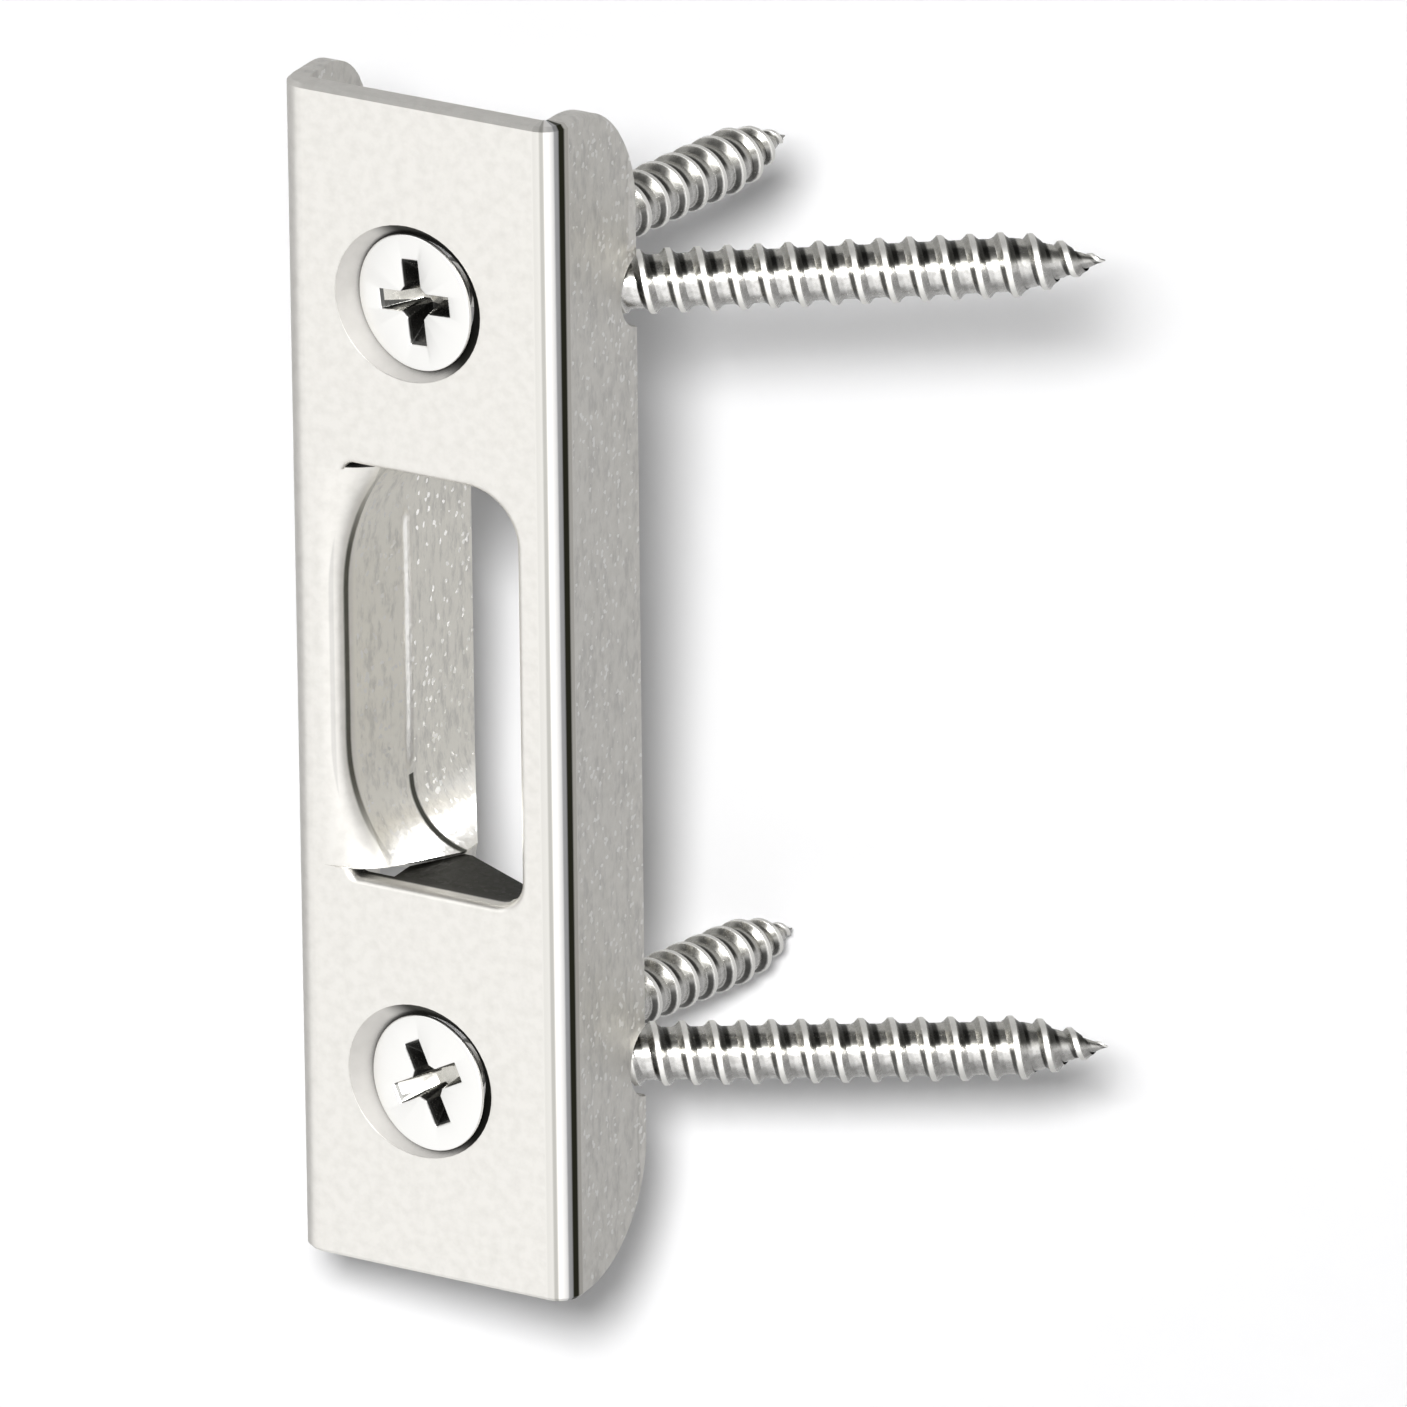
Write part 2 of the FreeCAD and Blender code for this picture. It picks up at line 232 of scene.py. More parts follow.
def makeStageMaterial(name, tone, mirror, ownGlow=0.0):
    # mirror is how bright polished metal sees it, or a function that works it out
    mat = clearNodes(bpy.data.materials.new(name))
    path = addNode(mat, "ShaderNodeLightPath").outputs
    paper = addNode(mat, "ShaderNodeBsdfDiffuse", Color=(*tone, 1)).outputs[0]
    glow = addNode(mat, "ShaderNodeEmission", Color=(1, 1, 1, 1), Strength=ownGlow).outputs[0]
    lit = addNode(mat, "ShaderNodeAddShader")
    link(mat, paper, lit.inputs[0])
    link(mat, glow, lit.inputs[1])
    mirrored = mirror(mat) if callable(mirror) else mirror
    shine = addNode(mat, "ShaderNodeEmission", Color=(1, 1, 1, 1), Strength=mirrored).outputs[0]
    toCamera = mixShader(mat, path["Is Camera Ray"], paper, lit.outputs[0])
    toMetal = mixShader(mat, path["Is Glossy Ray"], toCamera, shine)
    # seen from behind it isn't there, so it never hides the plate's back
    gone = addNode(mat, "ShaderNodeBsdfTransparent").outputs[0]
    facing = addNode(mat, "ShaderNodeNewGeometry").outputs["Backfacing"]
    addNode(mat, "ShaderNodeOutputMaterial", Surface=mixShader(mat, facing, toMetal, gone))
    return mat


def makeSheet(name, centre, xAxis, yAxis, size, mat):
    half = size / 2
    corners = [xAxis * x * half + yAxis * y * half for x, y in ((-1, -1), (1, -1), (1, 1), (-1, 1))]
    mesh = bpy.data.meshes.new(name)
    mesh.from_pydata([tuple(c) for c in corners], [], [(0, 1, 2, 3)])
    mesh.materials.append(mat)
    sheet = bpy.data.objects.new(name, mesh)
    sheet.location = centre
    bpy.context.scene.collection.objects.link(sheet)
    return sheet


def deepestPoint(direction):
    # how far the plate and screws reach against a direction
    reach = 0.0
    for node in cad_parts.values():
        for vertex in node.data.vertices:
            reach = min(reach, (node.matrix_world @ vertex.co).dot(direction))
    return reach


floorMaterial = makeStageMaterial("paleFloor", stageSetup["tone"], floorMirror, stageSetup["floorGlow"])
floorPlace = Vector((0, 0, solidBox[0].z - stageSetup["floorDrop"]))
makeSheet("floor", floorPlace, Vector((1, 0, 0)), Vector((0, 1, 0)), stageSetup["size"], floorMaterial)
cardMaterial = makeStageMaterial("paleCard", stageSetup["tone"], stageSetup["cardMirror"])
cardPlace = viewBack * (deepestPoint(viewBack) - stageSetup["cardGap"])
makeSheet("card", cardPlace, viewRight, viewUp, stageSetup["size"], cardMaterial)
print("stage laid")


# light

lightSetup = {
    # places are along the view's right, up and back, in metres
    "key": {"place": (-0.080, 0.100, 1.30), "size": 0.20, "power": 15.8},
    "side": {"place": (-1.1, 0.5, 0.5), "size": 0.8, "power": 1.5},
    "aim": (0, 0.01, 0),
    "skyLow": 0.85,          # at the horizon
    "skyHigh": 0.10,         # overhead
    "skyFade": (0.55, 0.85),
    "skyOnPaper": 0.12,      # share of it that lights the floor and card
}


def makeLight(name, place, size, power, aim):
    data = bpy.data.lights.new(name, "AREA")
    data.shape = "DISK"
    data.size = size
    data.energy = power
    lamp = bpy.data.objects.new(name, data)
    lamp.location = place
    lamp.rotation_euler = (Vector(aim) - Vector(place)).to_track_quat("-Z", "Y").to_euler()
    bpy.context.scene.collection.objects.link(lamp)
    return lamp


def makeWorld(setup):
    world = clearNodes(bpy.data.worlds.new("studio"))
    coords = addNode(world, "ShaderNodeTexCoord").outputs["Generated"]
    height = splitVector(world, coords)["Z"]
    level = rangeNode(world, height, *setup["skyFade"], setup["skyLow"], setup["skyHigh"])
    path = addNode(world, "ShaderNodeLightPath").outputs
    share = mathNode(world, "MULTIPLY_ADD", path["Is Diffuse Ray"], setup["skyOnPaper"] - 1, 1.0)
    sky = addNode(world, "ShaderNodeBackground", Color=(1, 1, 1, 1), Strength=both(world, level, share))
    white = addNode(world, "ShaderNodeBackground", Color=(1, 1, 1, 1), Strength=1.0)
    pick = mixShader(world, path["Is Camera Ray"], sky.outputs[0], white.outputs[0])
    addNode(world, "ShaderNodeOutputWorld", Surface=pick)
    bpy.context.scene.world = world


for lampName in ("key", "side"):
    lamp = lightSetup[lampName]
    right, up, back = lamp["place"]
    lampPlace = viewRight * right + viewUp * up + viewBack * back
    makeLight(lampName, lampPlace, lamp["size"], lamp["power"], lightSetup["aim"])
makeWorld(lightSetup)
bpy.context.scene.view_settings.view_transform = "Standard"
print("lights on")


# helpers for the two platings, in millimetres

def millimetres(mat, coords):
    parts = splitVector(mat, coords)
    return [mathNode(mat, "MULTIPLY", parts[axis], 1000.0) for axis in "XYZ"]


def distance(mat, first, second):
    squares = [mathNode(mat, "POWER", mathNode(mat, "ABSOLUTE", side), 2.0) for side in (first, second)]
    return mathNode(mat, "SQRT", mathNode(mat, "ADD", *squares))


def paintedCreviceShade(mat, reach, openness=0.62, tightness=0.18):
    # painted shade: near 1 in tight gaps and corners
    nearby = addNode(mat, "ShaderNodeAmbientOcclusion", samples=6, Distance=reach).outputs["AO"]
    return rangeNode(mat, nearby, openness, tightness)


def noiseNode(mat, coords, scale, detail, roughness=0.5):
    return addNode(mat, "ShaderNodeTexNoise", Vector=coords, Scale=scale, Detail=detail,
                   Roughness=roughness).outputs["Fac"]


def spreadBetween(mat, share, low, high):
    return mathNode(mat, "MULTIPLY_ADD", share, high - low, low)


def bumpNode(mat, height, strength, depth):
    bump = addNode(mat, "ShaderNodeBump", Strength=strength, Distance=depth, Height=height)
    return bump.outputs["Normal"]


def leaned(mat, normal, way, amount):
    # normal turned towards a direction by a varying amount
    push = addNode(mat, "ShaderNodeVectorMath", operation="SCALE", Vector=way, Scale=amount).outputs[0]
    return vectorNode(mat, "NORMALIZE", vectorNode(mat, "ADD", normal, push))


def finishMetal(mat, colour, rough, normal):
    shader = addNode(mat, "ShaderNodeBsdfPrincipled", Metallic=1.0, Base_Color=colour,
                     Roughness=rough, Normal=normal)
    addNode(mat, "ShaderNodeOutputMaterial", Surface=shader.outputs[0])
    return mat


# satin plating of the sheet with painted shade, glints and highlights, in millimetres of the solid's own
# frame

platingLook = {
    "tone": (0.830, 0.812, 0.775),
    "dullTone": (0.755, 0.738, 0.700),
    # painted light: the tongue is painted lighter than the rest of the same plating
    "tonguePaintedLightTone": (0.98, 0.955, 0.885),
    "darkTone": (0.022, 0.022, 0.018),
    "paintedShadeLineTone": (0.10, 0.10, 0.085),
    "greyTone": (0.50, 0.49, 0.48),
    # painted highlights and glints
    "paintedHighlightTone": (0.97, 0.96, 0.94),
    "bendShadeAndHighlightTones": [             # painted shade and highlight round the right bend, from the face (0) to the flange (1)
        (0.00, (0.830, 0.812, 0.775)), (0.05, (0.74, 0.725, 0.69)), (0.18, (0.74, 0.725, 0.69)),
        (0.22, (0.50, 0.49, 0.46)), (0.28, (0.50, 0.49, 0.46)), (0.32, (0.97, 0.95, 0.92)),
        (0.53, (0.97, 0.96, 0.95)), (0.57, (0.52, 0.52, 0.53)), (0.65, (0.52, 0.52, 0.53)),
        (0.69, (0.035, 0.035, 0.022)), (0.82, (0.035, 0.035, 0.022)), (0.87, (0.66, 0.64, 0.60)),
    ],
    "roughness": (0.36, 0.46),
    "holeRoughness": 0.8,
    "mottleScale": 1100.0,     # blotches a metre
    "mottleFade": (0.25, 0.60),
    "patchScale": 1300.0,      # and darker ones on the flanges and tongue
    "patchDraw": (1.0, 1.0, 0.4),       # drawn out along the plate
    "patchFade": (0.44, 0.70),
    "patchShare": 0.42,
    "grainScale": 3600.0,
    "grainDepth": 0.000010,
    "grainBump": 0.5,
    "sparkScale": 3300.0,      # painted glint crystals a metre, also there
    "sparkLevel": 0.94,        # those above it are painted bright as glints
    "sparkLean": (0.35, 1.5),  # how far they lean on the tongue's front and rear facets
    "sparkLeanAside": 0.08,    # and elsewhere
    "crystalTilt": 0.14,
    "frontTilt": (-0.1, -1.0, -0.25),   # turns a bright spot to what lies in front
    "lineLean": 0.8,           # how far the crease and the flange's edge lean
    "creviceShadeReach": 0.0016,         # how far a neighbouring surface paints shade into a narrow gap
}
foldPlaces = {
    # the tongue, bends and holes as the solid has them; a band is its centre, half width and soft edge
    "bendCentre": (9.2, 1.9),
    "bendFrom": 0.02,          # a point this far outside the centre both ways is on the bend
    "behindFace": 2.0,         # deeper than this are the flanges and the tongue
    "tongueBands": ((0.0, 8.8, 0.3), (10.0, 8.0, 0.7), (0.0, 15.6, 0.2)),
    "footSlope": (0.20, 0.80), # how level it is where its foot's painted highlight starts and where that is all bright
    "footHighlightShare": 0.75,
    "rimX": -6.97,             # painted shade line on the roll
    "rimY": 1.10,
    "rimRise": 0.55,           # how much deeper it goes for each millimetre that it curves in
    "rimRadius": 20.0,
    "rimStraight": 5.55,       # half its straight middle
    "rimShadeBands": ((0.0, 0.5, 0.4), (0.0, 0.11, 0.18), (0.0, 8.0, 9.0)),
    "startShadeBands": ((-7.57, 0.10, 0.14), (0.0, 0.3, 0.1)),   # painted grey shade line where the roll starts
    "creaseHighlightBands": ((-5.5, 0.6, 0.3), (7.5, 0.25, 0.5), (0.0, 8.9, 1.5)),
    "footCreaseBand": (7.5, 0.16, 0.25),
    "footCreaseTop": -10.4,
    "rearFacet": (7.0, 8.5),   # the tongue goes from its front to its rear facet between these depths
    "linesEnd": 15.45,
    "endBands": ((0.5, 7.3, 0.3), (10.0, 8.7, 0.3), (15.75, 0.12, 0.05)),
    "levelFace": 0.93,         # a face this level is sheared or is an end wall; both are painted near black, partly as shade
    "backFace": 0.35,          # one that turns further to the back has no leaning crystals
    "holeX": -0.88,
    "holeMiddle": -0.85,
    "holeAway": 29.5,          # from the middle of the two
    "holeRadius": 6.1,
    "holeDepths": (0.03, 1.56),
    "holeShadeWay": (0.87, 0.5),         # to the right and up from its middle it is painted dark with shade
    "holeShadeBand": (6.0, 4.0, 2.4),
    "edgeX": 10.75,            # right flange's back edge, bright beyond this and towards its two ends
    "edgeBands": ((11.6, 1.2, 0.5), (40.0, 7.5, 0.6)),
}


def tongueMasks(mat, places, point, facing):
    x, y, z = point
    tongue = within(mat, point, places["tongueBands"])
    # the tongue's level foot is painted bright, a painted highlight
    foot = both(mat, tongue, rangeNode(mat, facing["Z"], *places["footSlope"], high=places["footHighlightShare"]))
    # the painted shade line on the roll curves in towards both ends
    height = mathNode(mat, "ABSOLUTE", z)
    beyond = mathNode(mat, "MAXIMUM", mathNode(mat, "SUBTRACT", height, places["rimStraight"]), 0.0)
    squared = mathNode(mat, "SUBTRACT", places["rimRadius"] ** 2, mathNode(mat, "POWER", beyond, 2.0))
    sag = mathNode(mat, "SUBTRACT", places["rimRadius"], mathNode(mat, "SQRT", squared))
    offRimX = mathNode(mat, "SUBTRACT", x, mathNode(mat, "ADD", sag, places["rimX"]))
    aboveRim = mathNode(mat, "SUBTRACT", y, places["rimY"])
    offRimY = mathNode(mat, "MULTIPLY_ADD", sag, -places["rimRise"], aboveRim)
    shown = mathNode(mat, "LESS_THAN", height, places["linesEnd"])
    rim = both(mat, within(mat, (offRimX, offRimY, z), places["rimShadeBands"]), shown)
    start = both(mat, within(mat, (mathNode(mat, "SUBTRACT", x, sag), y), places["startShadeBands"]), shown)
    # a painted highlight along the tongue's crease
    crease = within(mat, point, places["creaseHighlightBands"])
    # a painted shade line along the crease at the tongue's foot
    footCreaseShade = both(mat, tongue, band(mat, y, *places["footCreaseBand"]),
                      mathNode(mat, "LESS_THAN", z, places["footCreaseTop"]))
    return tongue, foot, rim, start, crease, footCreaseShade


def shadedWindowEnds(mat, places, point, facing):
    # the window's sheared faces and its end walls, painted near black: partly the darker raw shear, partly
    # painted shade
    x, y, z = point
    level = mathNode(mat, "GREATER_THAN", mathNode(mat, "ABSOLUTE", facing["Z"]), places["levelFace"])
    return both(mat, level, within(mat, (x, y, mathNode(mat, "ABSOLUTE", z)), places["endBands"]))


def holeMasks(mat, places, point):
    # painted shade in the countersinks: dark beside the head, paler grey on the side that it leans away
    # from
    x, y, z = point
    acrossX = mathNode(mat, "SUBTRACT", x, places["holeX"])
    fromMiddle = mathNode(mat, "SUBTRACT", z, places["holeMiddle"])
    awayFromMiddle = mathNode(mat, "ABSOLUTE", fromMiddle)
    outward = mathNode(mat, "SUBTRACT", awayFromMiddle, places["holeAway"])
    upward = mathNode(mat, "MULTIPLY", outward, mathNode(mat, "SIGN", fromMiddle))
    wayX, wayZ = places["holeShadeWay"]
    shadeWay = mathNode(mat, "MULTIPLY_ADD", acrossX, wayX, mathNode(mat, "MULTIPLY", upward, wayZ))
    shallow, deep = places["holeDepths"]
    inHole = both(mat, mathNode(mat, "LESS_THAN", distance(mat, acrossX, outward), places["holeRadius"]),
                  mathNode(mat, "GREATER_THAN", y, shallow), mathNode(mat, "LESS_THAN", y, deep))
    return inHole, both(mat, inHole, band(mat, shadeWay, *places["holeShadeBand"])), awayFromMiddle


def makePlating(look, places):
    mat = clearNodes(bpy.data.materials.new("satinPlatingWithPaintedLight"))
    coords = addNode(mat, "ShaderNodeTexCoord").outputs["Object"]
    point = millimetres(mat, coords)
    x, y = point[:2]
    facing = splitVector(mat, addNode(mat, "ShaderNodeNewGeometry").outputs["Normal"])
    mottle = noiseNode(mat, coords, look["mottleScale"], 3.0, 0.55)
    grain = noiseNode(mat, coords, look["grainScale"], 2.0, 0.6)
    dull, full = look["mottleFade"]
    colour = rampNode(mat, mottle, [(dull, look["dullTone"]), (full, look["tone"])])

    # crystals painted bright as glints, and darker patches of the plating, on the flanges and the tongue
    lively = mathNode(mat, "GREATER_THAN", y, places["behindFace"])
    cells = addNode(mat, "ShaderNodeTexVoronoi", Vector=coords, Scale=look["sparkScale"]).outputs["Color"]
    cellTone = addNode(mat, "ShaderNodeSeparateColor", Color=cells).outputs[0]
    paintedGlint = both(mat, lively, mathNode(mat, "GREATER_THAN", cellTone, look["sparkLevel"]))
    drawn = addNode(mat, "ShaderNodeMapping", Vector=coords, Scale=look["patchDraw"]).outputs[0]
    patches = noiseNode(mat, drawn, look["patchScale"], 3.0, 0.7)
    patch = both(mat, lively, rangeNode(mat, patches, *look["patchFade"], high=look["patchShare"]))

    # right bend, painted light and shade: a thin grey shade line where it starts, a bright highlight strip
    # and a dark shade line where it ends
    fromBendX = mathNode(mat, "SUBTRACT", x, places["bendCentre"][0])
    fromBendY = mathNode(mat, "SUBTRACT", places["bendCentre"][1], y)
    turn = mathNode(mat, "MULTIPLY", mathNode(mat, "ARCTAN2", fromBendX, fromBendY), 2 / math.pi)
    onBend = both(mat, *[mathNode(mat, "GREATER_THAN", side, places["bendFrom"])
                         for side in (fromBendX, fromBendY)])
    colour = mixColour(mat, onBend, colour, rampNode(mat, turn, look["bendShadeAndHighlightTones"]))

    tongue, foot, rim, start, crease, footCreaseShade = tongueMasks(mat, places, point, facing)
    inHole, holeShade, awayFromMiddle = holeMasks(mat, places, point)
    # over the plating's own tone and patches: the lighter painted tongue, painted glints and highlights,
    # painted shade lines, and painted shade in the window's ends, the countersinks and tight gaps
    colour = paint(mat, colour, look, (
        (tongue, 1.0, "tonguePaintedLightTone"), (patch, 1.0, "greyTone"), (paintedGlint, 1.0, "paintedHighlightTone"),
        (foot, 1.0, "paintedHighlightTone"), (rim, 0.95, "paintedShadeLineTone"), (start, 0.45, "greyTone"),
        (crease, 1.0, "paintedHighlightTone"), (footCreaseShade, 1.0, "paintedShadeLineTone"),
        (shadedWindowEnds(mat, places, point, facing), 0.97, "darkTone"), (inHole, 0.60, "greyTone"),
        (holeShade, 0.94, "darkTone"), (paintedCreviceShade(mat, look["creviceShadeReach"]), 0.92, "darkTone"),
    ))
    rough = mathNode(mat, "MAXIMUM", spreadBetween(mat, grain, *look["roughness"]),
                     mathNode(mat, "MULTIPLY", inHole, look["holeRoughness"]))

    # crystals tilt the surface a little each way, and the bright ones lean to the front, those on the
    # tongue's rear facet most; so do its foot and crease and the ends of the right flange's back edge
    height = mathNode(mat, "MULTIPLY_ADD", grain, 0.5, mottle)
    bumped = bumpNode(mat, height, look["grainBump"], look["grainDepth"])
    aside = vectorNode(mat, "SUBTRACT", cells, (0.5, 0.5, 0.5))
    tilted = leaned(mat, bumped, aside, mathNode(mat, "MULTIPLY", lively, look["crystalTilt"]))
    onTongue = both(mat, tongue, rangeNode(mat, y, *places["rearFacet"], *look["sparkLean"]))
    sparkLean = both(mat, paintedGlint, mathNode(mat, "MAXIMUM", onTongue, look["sparkLeanAside"]),
                     mathNode(mat, "LESS_THAN", facing["Y"], places["backFace"]))
    edge = both(mat, mathNode(mat, "GREATER_THAN", x, places["edgeX"]),
                within(mat, (y, awayFromMiddle), places["edgeBands"]))
    lean = sparkLean
    for other in (both(mat, foot, mathNode(mat, "SUBTRACT", 1.0, footCreaseShade)),
                  both(mat, crease, look["lineLean"]), both(mat, edge, look["lineLean"])):
        lean = mathNode(mat, "MAXIMUM", lean, other)
    return finishMetal(mat, colour, rough, leaned(mat, tilted, look["frontTilt"], lean))


platingMaterial = makePlating(platingLook, foldPlaces)
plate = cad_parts["strike_plate"]
for slot in plate.material_slots:
    slot.material = platingMaterial
print("plate finished")


# screws with their threads, in millimetres down the -Z axis from the head's face

screwShape = {
    "threadRadius": 2.3,
    "coreRadius": 1.88,
    "neckRadius": 1.95,
    "neckStep": (0.4, 0.2),    # it narrows to the core from before the thread's start to after it
    "shortNeck": 1.0,          # or all along where it is no longer than this
    "coneGap": 0.1,
    "pitch": 2.117,
    "stepsPerTurn": 36,
    "sides": 72,
    "crestWidth": 0.34,
    "footWidth": 1.45,
    "waist": (0.42, 0.55),     # how far out the fin's sides bend, and how far they have drawn in by then
    "threadSunk": 0.06,        # how far the fin's foot lies in the core
    "threadRise": 0.4,         # turns that the thread takes to rise at its start
    "threadShort": 0.35,       # it stops this far from the point
    "tipLength": 6.5,
    "tipSteps": 12,
    "tipCurves": (1.35, 1.7),  # how full the core and the crests stay towards the point
    "headAngle": 82.0,
    "headLip": 0.25,
    "rimRound": 0.12,
    "recessMouth": (6.4, 1.5),
    "recessFloor": (2.4, 0.9),
    "recessHub": (2.7, 1.5),   # at the mouth and the floor
    "recessDepth": 2.5,
    "recessAbove": 0.25,       # how far the cutter stands over the face
    "recessRound": 0.09,
    "recessSharp": 50,         # degrees above which an edge is rounded
    "shadeSharp": 38,          # and above which it stays sharp to the eye
}
screwKinds = {
    "face_screw": {"headRadius": 5.0, "length": 41.3, "threadStart": 16.0},
    "angled_screw": {"headRadius": 4.3, "length": 37.8, "threadStart": 3.4},
}
screwPoses = {
    # direction that each is driven in, and its turn about that, which also sets where its crests fall
    "face_screw_upper": {"turn": 10.0, "rise": 0.0, "spin": -3.0},
    "face_screw_lower": {"turn": 10.0, "rise": -2.75, "spin": 19.0},
    "angled_screw_upper": {"turn": 62.0, "rise": 2.6, "spin": 194.0},
    "angled_screw_lower": {"turn": 62.0, "rise": 0.8, "spin": -102.0},
}


# bright plating of the screws, with painted shade and highlights

screwLook = {
    "tone": (0.84, 0.83, 0.81),
    "dullTone": (0.66, 0.65, 0.63),
    "headPaintedSheenTone": (0.93, 0.925, 0.905),
    "crestHighlightTone": (0.98, 0.97, 0.94),
    "oliveShadeTone": (0.34, 0.33, 0.27),
    "armPaintedLightTone": (0.80, 0.78, 0.72),
    "darkTone": (0.020, 0.020, 0.017),
    "roughness": (0.20, 0.34),
    "faceRoughness": 0.38,
    "crestRoughness": 0.60,
    "grainScale": 2600.0,
    "grainFade": (0.3, 0.58),
    "grainDepth": 0.000010,
    "grainBump": 0.35,
    "creviceShadeReach": 0.0010,
    "faceDepth": -0.30,
    "threadFrom": -3.4,
    "upWay": (-190.0, 330.0, 920.0),  # millimetres above the axis, as the camera sees it
    "upFade": (-0.4, 0.5),
    # parts of a turn, from crest to crest, for the painted shade and the painted highlight
    "farShadeBand": (0.30, 0.13, 0.10),
    "nearShadeBand": (0.81, 0.05, 0.05),
    "crestHighlightBand": (0.5, 0.075, 0.04),
    "leastDark": 0.25,
    "recessWall": (3.35, 0.75),       # the recess's painted shade: its reach at the face, and how fast that narrows going down
    "recessDepths": (-0.09, -2.7),
    "armDepth": -0.3,
    "armFacing": -0.45,
    "armTop": 0.75,
    "armBottom": (0.80, 0.20),        # below the middle, and how fast that rises outwards
}


def screwThread(mat, look, shape, point):
    # painted shade, dark on the far side of each crest above the axis and on its near side below, and a
    # painted highlight on the crest
    x, y, z = point
    around = mathNode(mat, "DIVIDE", mathNode(mat, "ARCTAN2", y, x), 2 * math.pi)
    turns = mathNode(mat, "SUBTRACT", around, mathNode(mat, "DIVIDE", z, shape["pitch"]))
    lead = mathNode(mat, "FRACT", turns)
    fromAxis = addNode(mat, "ShaderNodeAttribute", attribute_name="fromAxis").outputs["Vector"]
    rise = vectorNode(mat, "DOT_PRODUCT", fromAxis, look["upWay"], result="Value")
    upper = rangeNode(mat, rise, *look["upFade"])
    lower = mathNode(mat, "SUBTRACT", 1.0, upper)
    onThread = mathNode(mat, "LESS_THAN", z, look["threadFrom"])
    far, near = (
        both(mat, onThread, band(mat, lead, *look[side]), mathNode(mat, "MAXIMUM", half, look["leastDark"]))
        for side, half in (("farShadeBand", upper), ("nearShadeBand", lower))
    )
    fromHalf = mathNode(mat, "ABSOLUTE", mathNode(mat, "SUBTRACT", lead, 0.5))
    # a painted highlight along each crest
    crest = both(mat, onThread, band(mat, fromHalf, *look["crestHighlightBand"]), 0.9)
    # the upper half of the thread, as the camera sees it, is painted with olive shade
    return both(mat, onThread, upper), far, near, crest


def screwRecessShade(mat, look, point, facing):
    # painted shade, dark inside, with its floor painted light along the level arm
    x, y, z = point
    reach, narrowing = look["recessWall"]
    limit = mathNode(mat, "MULTIPLY_ADD", z, narrowing, reach)
    shallow, deep = look["recessDepths"]
    recess = both(mat, mathNode(mat, "LESS_THAN", distance(mat, x, y), limit),
                  mathNode(mat, "LESS_THAN", z, shallow), mathNode(mat, "GREATER_THAN", z, deep))
    # the level arm's floor is painted light
    below, rising = look["armBottom"]
    lowest = mathNode(mat, "MULTIPLY_ADD", mathNode(mat, "ABSOLUTE", x), rising, -below)
    arm = both(mat, recess, mathNode(mat, "LESS_THAN", facing["Y"], look["armFacing"]),
               mathNode(mat, "GREATER_THAN", y, lowest), mathNode(mat, "LESS_THAN", y, look["armTop"]),
               mathNode(mat, "LESS_THAN", z, look["armDepth"]))
    return recess, arm


def makeScrewPlating(look, shape):
    mat = clearNodes(bpy.data.materials.new("brightPlatingWithPaintedLight"))
    coords = addNode(mat, "ShaderNodeAttribute", attribute_name="alongScrew").outputs["Vector"]
    point = millimetres(mat, coords)
    facing = splitVector(mat, addNode(mat, "ShaderNodeNewGeometry").outputs["Normal"])
    grain = noiseNode(mat, coords, look["grainScale"], 3.0)
    dull, full = look["grainFade"]
    colour = rampNode(mat, grain, [(dull, look["dullTone"]), (full, look["tone"])])
    # the head's face and rim are painted lighter, a painted sheen; the same mask sets their roughness
    onFace = mathNode(mat, "GREATER_THAN", point[2], look["faceDepth"])
    above, far, near, crest = screwThread(mat, look, shape, point)
    recess, arm = screwRecessShade(mat, look, point, facing)
    # over the plating's grain: the head's painted sheen, painted olive shade and dark shade beside the
    # crests, painted crest highlights, painted shade in the recess and tight gaps, and its level arm
    # painted light
    colour = paint(mat, colour, look, (
        (onFace, 1.0, "headPaintedSheenTone"), (above, 0.45, "oliveShadeTone"), (far, 0.92, "darkTone"),
        (near, 0.85, "darkTone"), (crest, 1.0, "crestHighlightTone"), (recess, 0.9, "darkTone"),
        (paintedCreviceShade(mat, look["creviceShadeReach"]), 0.85, "darkTone"), (arm, 0.8, "armPaintedLightTone"),
    ))
    rough = spreadBetween(mat, grain, *look["roughness"])
    for mask, least in ((onFace, look["faceRoughness"]), (crest, look["crestRoughness"])):
        rough = mathNode(mat, "MAXIMUM", rough, mathNode(mat, "MULTIPLY", mask, least))
    return finishMetal(mat, colour, rough, bumpNode(mat, grain, look["grainBump"], look["grainDepth"]))


def taper(shape, kind, down):
    # 0 along the shank, rising to 1 at the point
    return max(0.0, (down - kind["length"] + shape["tipLength"]) / shape["tipLength"])


def coreRadius(shape, kind, down):
    return max(0.04, shape["coreRadius"] * (1 - taper(shape, kind, down) ** shape["tipCurves"][0]))


def crestRadius(shape, kind, down):
    full = max(0.05, shape["threadRadius"] * (1 - taper(shape, kind, down) ** shape["tipCurves"][1]))
    rise = min(1.0, max(0.0, (down - kind["threadStart"]) / (shape["threadRise"] * shape["pitch"])))
    core = coreRadius(shape, kind, down)
    return core + (full - core) * rise


def lathe(bm, profile, sides):
    # turns (radius, depth) pairs about the axis and closes both ends
    rings = []
    for radius, down in profile:
        if radius < 1e-6:
            rings.append([bm.verts.new((0, 0, -down * mm))])
            continue
        ring = [bm.verts.new((radius * mm * math.cos(a), radius * mm * math.sin(a), -down * mm))
                for a in (2 * math.pi * i / sides for i in range(sides))]
        rings.append(ring)
    for upper, lower in zip(rings, rings[1:]):
        for i in range(sides):
            j = (i + 1) % sides
            # a ring of one point closes the end with triangles
            quad = [upper[i % len(upper)], upper[j % len(upper)],
                    lower[j % len(lower)], lower[i % len(lower)]]
            bm.faces.new(list(dict.fromkeys(quad)))


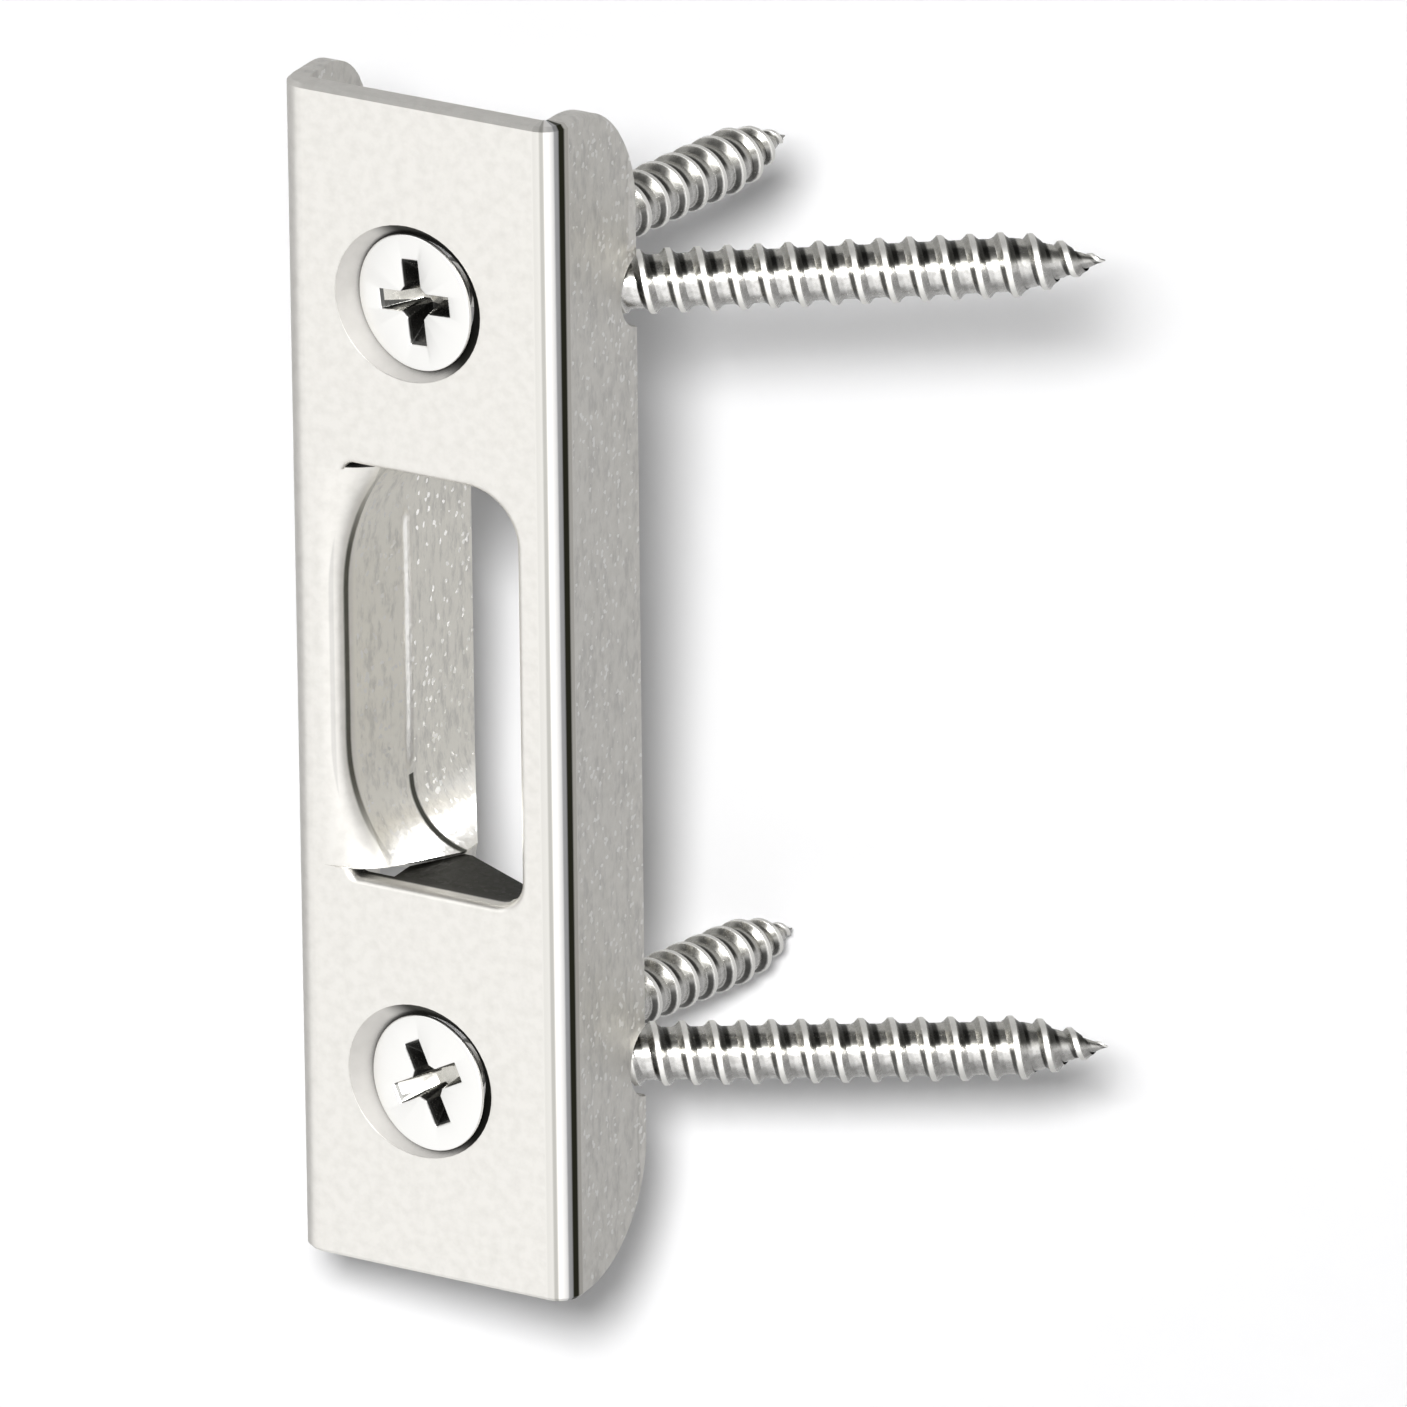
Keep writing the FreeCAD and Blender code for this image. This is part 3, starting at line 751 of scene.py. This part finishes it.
def screwBody(shape, kind):
    head = kind["headRadius"]
    rim = shape["rimRound"]
    neck = shape["neckRadius"]
    coneEnd = shape["headLip"] + (head - neck) / math.tan(math.radians(shape["headAngle"] / 2))
    profile = [(0, 0), (head - rim, 0)]
    for turn in (30, 60, 90):
        sine = math.sin(math.radians(turn))
        cosine = math.cos(math.radians(turn))
        profile.append((head - rim + rim * sine, rim - rim * cosine))
    profile += [(head, shape["headLip"]), (neck, coneEnd)]
    start = max(kind["threadStart"], coneEnd + shape["coneGap"])
    before, after = shape["neckStep"]
    if start > coneEnd + shape["shortNeck"]:
        profile.append((neck, start - before))
    profile.append((shape["coreRadius"], start + after))
    tipStart = kind["length"] - shape["tipLength"]
    for step in range(shape["tipSteps"] + 1):
        down = tipStart + shape["tipLength"] * step / shape["tipSteps"]
        profile.append((coreRadius(shape, kind, down), down))
    profile.append((0, kind["length"]))
    bm = bmesh.new()
    lathe(bm, profile, shape["sides"])
    return bm


def addThread(bm, shape, kind):
    # a closed fin wound round the core, right-handed
    steps = shape["stepsPerTurn"]
    first = kind["threadStart"]
    last = kind["length"] - shape["threadShort"]
    count = int((last - first) / shape["pitch"] * steps)
    waistOut, waistIn = shape["waist"]
    rings = []
    for i in range(count + 1):
        down = first + shape["pitch"] * i / steps
        angle = -2 * math.pi * down / shape["pitch"]
        core = coreRadius(shape, kind, down) - shape["threadSunk"]
        crest = crestRadius(shape, kind, down)
        share = min(1.0, (crest - core) / (shape["threadRadius"] - shape["coreRadius"]))
        foot = shape["footWidth"] / 2 * share
        tip = shape["crestWidth"] / 2 * share
        waist = (core + (crest - core) * waistOut, foot * (1 - waistIn) + tip * waistIn)
        outline = [(core, -foot), (waist[0], -waist[1]), (crest, -tip), (crest, tip), waist, (core, foot)]
        rings.append([bm.verts.new((r * mm * math.cos(angle), r * mm * math.sin(angle), -(down + o) * mm))
                      for r, o in outline])
    for near, far in zip(rings, rings[1:]):
        for k in range(len(near)):
            n = (k + 1) % len(near)
            bm.faces.new((near[k], near[n], far[n], far[k]))
    bm.faces.new(rings[0])
    bm.faces.new(list(reversed(rings[-1])))


def recessCutter(shape):
    # two tapered slots that cross, and a hub that cuts back their corners
    bm = bmesh.new()
    depth = shape["recessDepth"]
    above = shape["recessAbove"]
    hubMouth, hubFloor = shape["recessHub"]
    for mouth, floor, turn in ((shape["recessMouth"], shape["recessFloor"], 0),
                               (shape["recessMouth"], shape["recessFloor"], 90),
                               ((hubMouth, hubMouth), (hubFloor, hubFloor), 45)):
        cosine = math.cos(math.radians(turn))
        sine = math.sin(math.radians(turn))
        top = [m + (m - f) / depth * above for m, f in zip(mouth, floor)]
        rings = []
        for sides, z in ((top, above), (floor, -depth)):
            ring = []
            for x, y in ((-1, -1), (1, -1), (1, 1), (-1, 1)):
                px = x * sides[0] / 2
                py = y * sides[1] / 2
                place = (px * cosine - py * sine, px * sine + py * cosine, z)
                ring.append(bm.verts.new([c * mm for c in place]))
            rings.append(ring)
        for i in range(4):
            j = (i + 1) % 4
            bm.faces.new((rings[1][i], rings[1][j], rings[0][j], rings[0][i]))
        bm.faces.new(rings[0])
        bm.faces.new(list(reversed(rings[1])))
    return bm


def meshFrom(bm, name):
    bmesh.ops.recalc_face_normals(bm, faces=bm.faces)
    mesh = bpy.data.meshes.new(name)
    bm.to_mesh(mesh)
    bm.free()
    return mesh


def bakedMesh(thing):
    graph = bpy.context.evaluated_depsgraph_get()
    return bpy.data.meshes.new_from_object(thing.evaluated_get(graph))


def makeScrew(name, shape, kind, place, mat):
    screw = bpy.data.objects.new(name + "_finished", meshFrom(screwBody(shape, kind), name + "Body"))
    cutter = bpy.data.objects.new(name + "Cutter", meshFrom(recessCutter(shape), name + "Cutter"))
    for thing in (screw, cutter):
        bpy.context.scene.collection.objects.link(thing)
    cut = screw.modifiers.new("recess", "BOOLEAN")
    cut.object = cutter
    cut.operation = "DIFFERENCE"
    cut.solver = "EXACT"
    cut.use_self = True
    soften = screw.modifiers.new("soften", "BEVEL")
    soften.width = shape["recessRound"] * mm
    soften.segments = 2
    soften.limit_method = "ANGLE"
    soften.angle_limit = math.radians(shape["recessSharp"])
    bpy.context.view_layer.update()
    body = bakedMesh(screw)
    screw.modifiers.clear()
    bpy.data.objects.remove(cutter)
    bm = bmesh.new()
    bm.from_mesh(body)
    addThread(bm, shape, kind)
    screw.data = meshFrom(bm, name)
    # each point keeps its place on the screw and its way out from the axis for the material, whose painted
    # shade depends on that way
    along = screw.data.attributes.new("alongScrew", "FLOAT_VECTOR", "POINT")
    outward = screw.data.attributes.new("fromAxis", "FLOAT_VECTOR", "POINT")
    turned = place.to_3x3()
    for vertex in screw.data.vertices:
        along.data[vertex.index].vector = vertex.co
        outward.data[vertex.index].vector = turned @ Vector((vertex.co.x, vertex.co.y, 0))
    screw.data.transform(place)
    screw.data.materials.append(mat)
    for face in screw.data.polygons:
        face.use_smooth = True
    screw.data.set_sharp_from_angle(angle=math.radians(shape["shadeSharp"]))
    return screw


def driveDirection(turn, rise):
    turn = math.radians(turn)
    rise = math.radians(rise)
    return Vector((math.sin(turn) * math.cos(rise), math.cos(turn) * math.cos(rise), math.sin(rise)))


def headFaceCentre(node, direction):
    # middle of the head's rim, found from the solid's own points
    world = [node.matrix_world @ v.co for v in node.data.vertices]
    start = min(p.dot(direction) for p in world)
    rim = [p for p in world if p.dot(direction) < start + 0.02 * mm]
    far = max(rim, key=lambda p: (p - rim[0]).length)
    opposite = max(rim, key=lambda p: (p - far).length)
    return (far + opposite) / 2


screwMaterial = makeScrewPlating(screwLook, screwShape)
for screwName, pose in screwPoses.items():
    kind = screwKinds[screwName.rsplit("_", 1)[0]]
    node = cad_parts[screwName]
    direction = driveDirection(pose["turn"], pose["rise"])
    centre = headFaceCentre(node, direction)
    spin = Matrix.Rotation(math.radians(pose["spin"]), 4, "Z")
    lie = Vector((0, 0, -1)).rotation_difference(direction).to_matrix().to_4x4()
    place = Matrix.Translation(centre) @ lie @ spin
    screw = makeScrew(screwName, screwShape, kind, place, screwMaterial)
    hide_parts(screwName)
    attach(screw, "root")
    print(screwName, "threaded", [round(c, 5) for c in centre])
print("screws finished")
